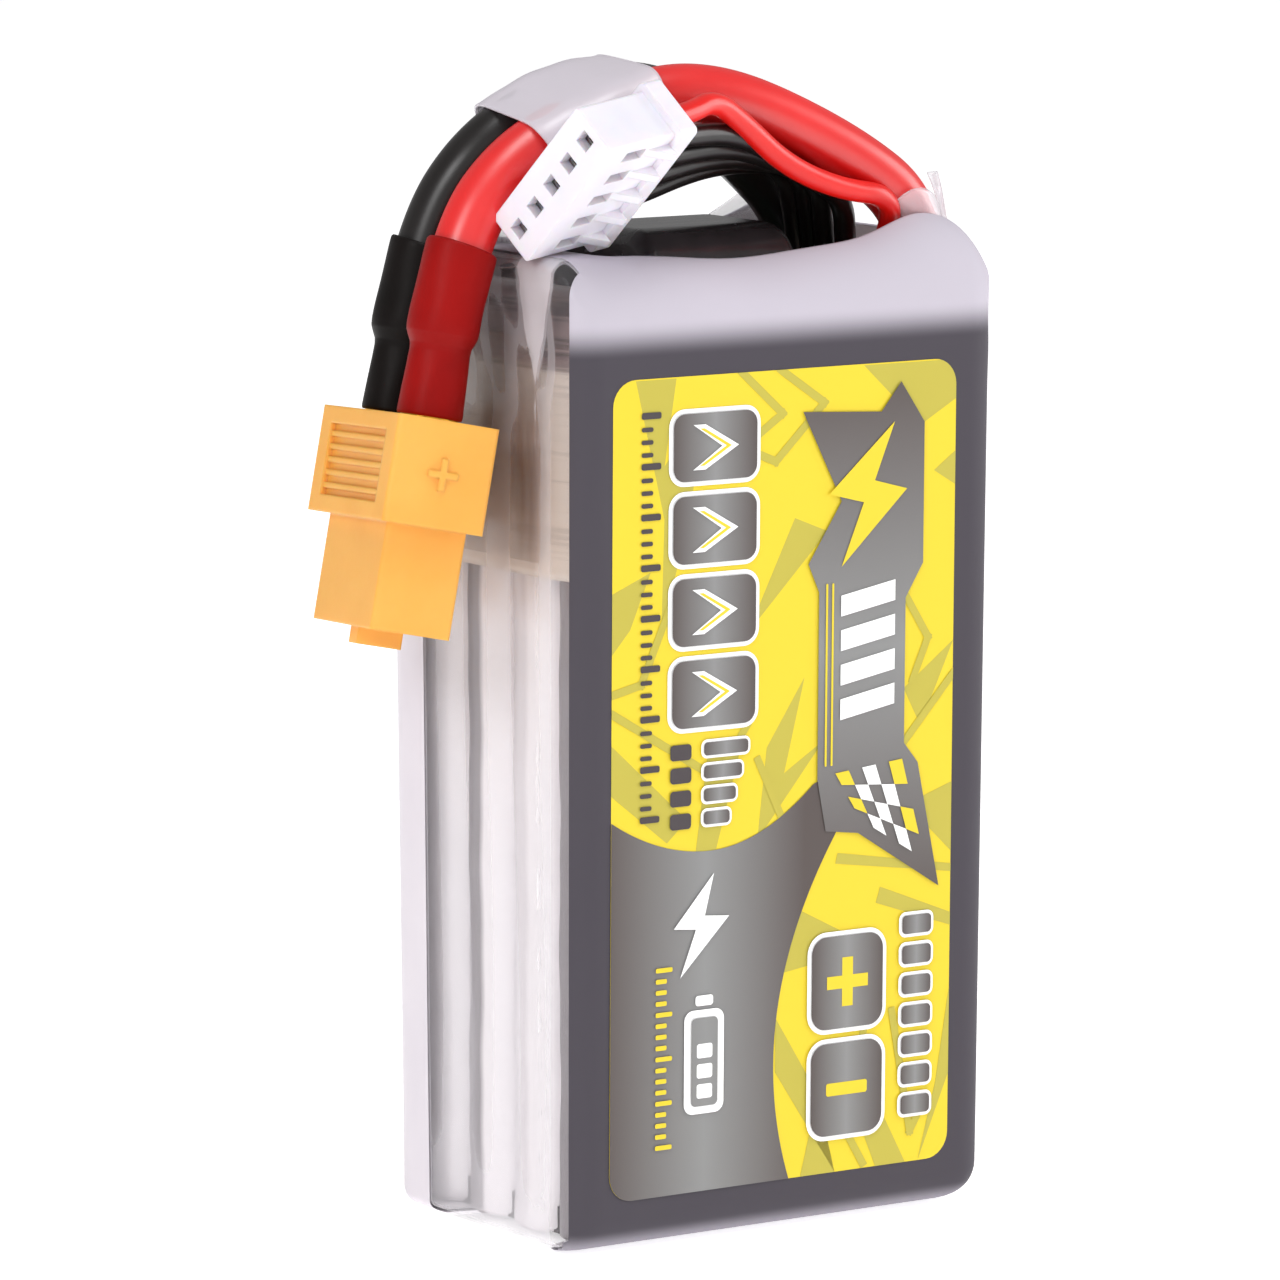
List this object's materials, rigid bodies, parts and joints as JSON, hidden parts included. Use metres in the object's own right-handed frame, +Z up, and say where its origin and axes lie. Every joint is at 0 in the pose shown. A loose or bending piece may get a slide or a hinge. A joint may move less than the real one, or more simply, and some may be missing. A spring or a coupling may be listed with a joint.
{
  "type": "lithium polymer battery pack",
  "caption": "Upright shrink-wrapped lithium-polymer pack with clear sides, main leads arching over the top to a two-pole power plug, and a small white balance plug.",
  "frame": {"origin": "middle of the base of the wrapped pack, on the surface it stands on", "axes": "+X to the right along the broad front face, which looks along -Y; +Z up along the length of the pack, towards the leads"},
  "size_m": [0.0528, 0.0318, 0.0894],
  "materials": {
    "printed_film": "satin printed heat-shrink film, clear at the narrow sides",
    "fibre_tape": "fibre-reinforced strapping tape",
    "brown_tape": "polyimide tape",
    "black_foam": "closed-cell foam",
    "white_tape": "double-sided tape",
    "aluminium_tab": "bare strip",
    "nickel_tab": "nickel-plated strip",
    "seal_polymer": "translucent sealing film",
    "fish_paper": "vulcanised fibre sheet",
    "circuit_board": "solder-masked glass-epoxy",
    "solder": "bright solder",
    "red_silicone": "soft glossy insulation",
    "black_silicone": "soft glossy insulation",
    "red_wire": "soft insulation",
    "black_wire": "soft insulation",
    "tinned_copper": "tinned fine strands",
    "red_shrink": "satin heat-shrink tube",
    "black_shrink": "satin heat-shrink tube",
    "clear_shrink": "milky translucent sleeve",
    "amber_nylon": "moulded glass-filled nylon",
    "gold_plate": "gold plating",
    "white_nylon": "moulded nylon",
    "tin_plate": "tin plating",
    "pouch_foil": "polymer-coated aluminium laminate"
  },
  "bodies": {
    "root": {"shrink_sleeve": "printed_film", "fibre_tape_band": "fibre_tape", "polyimide_tape": "brown_tape", "bottom_pad": "black_foam", "top_pad": "black_foam", "cell_tape_pads": "white_tape", "positive_tabs": "aluminium_tab", "negative_tabs": "nickel_tab", "tab_seal_strips": "seal_polymer", "cell_insulator": "fish_paper", "balance_board": "circuit_board", "solder_joints": "solder", "positive_lead": "red_silicone", "negative_lead": "black_silicone", "positive_stripped_ends": "tinned_copper", "negative_stripped_ends": "tinned_copper", "positive_heat_shrink": "red_shrink", "negative_heat_shrink": "black_shrink", "lead_band": "clear_shrink", "power_plug_housing": "amber_nylon", "positive_socket": "gold_plate", "negative_socket": "gold_plate", "balance_plug_housing": "white_nylon", "balance_contacts": "tin_plate", "cell_1": "pouch_foil", "cell_2": "pouch_foil", "cell_3": "pouch_foil", "cell_4": "pouch_foil", "balance_wire_1": "red_wire", "balance_wire_2": "black_wire", "balance_wire_3": "black_wire", "balance_wire_4": "black_wire", "balance_wire_5": "black_wire"}
  },
  "joints": []
}
